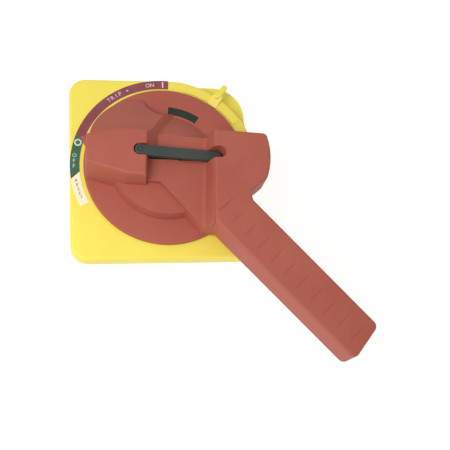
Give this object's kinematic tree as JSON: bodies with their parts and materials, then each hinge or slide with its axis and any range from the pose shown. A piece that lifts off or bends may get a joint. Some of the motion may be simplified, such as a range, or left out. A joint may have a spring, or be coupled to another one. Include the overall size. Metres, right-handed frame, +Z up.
{
  "type": "rotary isolator operating handle",
  "caption": "Door-mounted rotary operating handle of an isolator switch: yellow square plate, red disc with a slanted lever, padlock bar, position window and release fin.",
  "frame": {"origin": "on the handle's turning axis, in the plane of the door that the plate's rear face lies on", "axes": "+X to the right seen from the front, +Y into the door along the turning axis, +Z up"},
  "size_m": [0.1475, 0.0626, 0.1562],
  "materials": {
    "plate_yellow": "fine moulded texture",
    "handle_red": "fine moulded texture",
    "cover_red": "satin",
    "label_red": "printed",
    "label_green": "printed",
    "label_cream": "printed",
    "window_dark": "tinted",
    "bar_dark": "satin",
    "housing_black": "satin",
    "seal_rubber": "matte",
    "insert_brass": "turned",
    "screw_steel": "zinc plated",
    "spring_steel": "drawn wire",
    "hub_metal": "die cast"
  },
  "bodies": {
    "base": {"front_plate": "plate_yellow", "label_on_trip": "label_red", "label_off": "label_green", "label_reset": "label_cream", "door_gasket": "seal_rubber", "plate_inserts": "insert_brass", "bearing_housing": "housing_black", "housing_screws": "screw_steel", "release_spring": "spring_steel", "detent_ball": "screw_steel", "detent_spring": "spring_steel"},
    "handle": {"handle_shell": "handle_red", "window_lens": "window_dark", "hub": "hub_metal", "hub_seal": "seal_rubber", "thrust_washer": "screw_steel", "circlip": "spring_steel", "hub_screws": "screw_steel", "lever_cover": "cover_red", "cover_screws": "screw_steel", "shaft_screw": "screw_steel", "lever_pin": "screw_steel", "bolt_guide": "housing_black", "bolt_spring": "spring_steel"},
    "padlock_bar": {"padlock_lever": "bar_dark"},
    "bolt": {"locking_bolt": "screw_steel"},
    "release": {"release_lever": "plate_yellow"}
  },
  "joints": [
    {"name": "handle_turn", "type": "hinge", "parent": "base", "child": "handle", "pos_m": [0, 0, 0], "axis": [0, 1, 0], "range_deg": [-28, 76]},
    {"name": "padlock_swing", "type": "hinge", "parent": "handle", "child": "padlock_bar", "pos_m": [-0.01569, -0.0305, 0.00072], "axis": [-0.0262, 0, -0.9997], "range_deg": [0, 20], "stiffness_Nm_per_rad": 0.02, "springref_deg": -17.19},
    {"name": "bolt_slide", "type": "slide", "parent": "handle", "child": "bolt", "axis": [0, 1, 0], "range_m": [0, 0.0047], "deforming": ["bolt_spring"]},
    {"name": "release_swing", "type": "hinge", "parent": "base", "child": "release", "pos_m": [0, 0, 0], "axis": [0, 1, 0], "range_deg": [0, 5], "stiffness_Nm_per_rad": 0.02, "springref_deg": -5.73, "deforming": ["release_spring"]}
  ],
  "couplings": [
    {"joint": "bolt_slide", "follows": "padlock_swing", "m_per_rad": 0.0132}
  ]
}
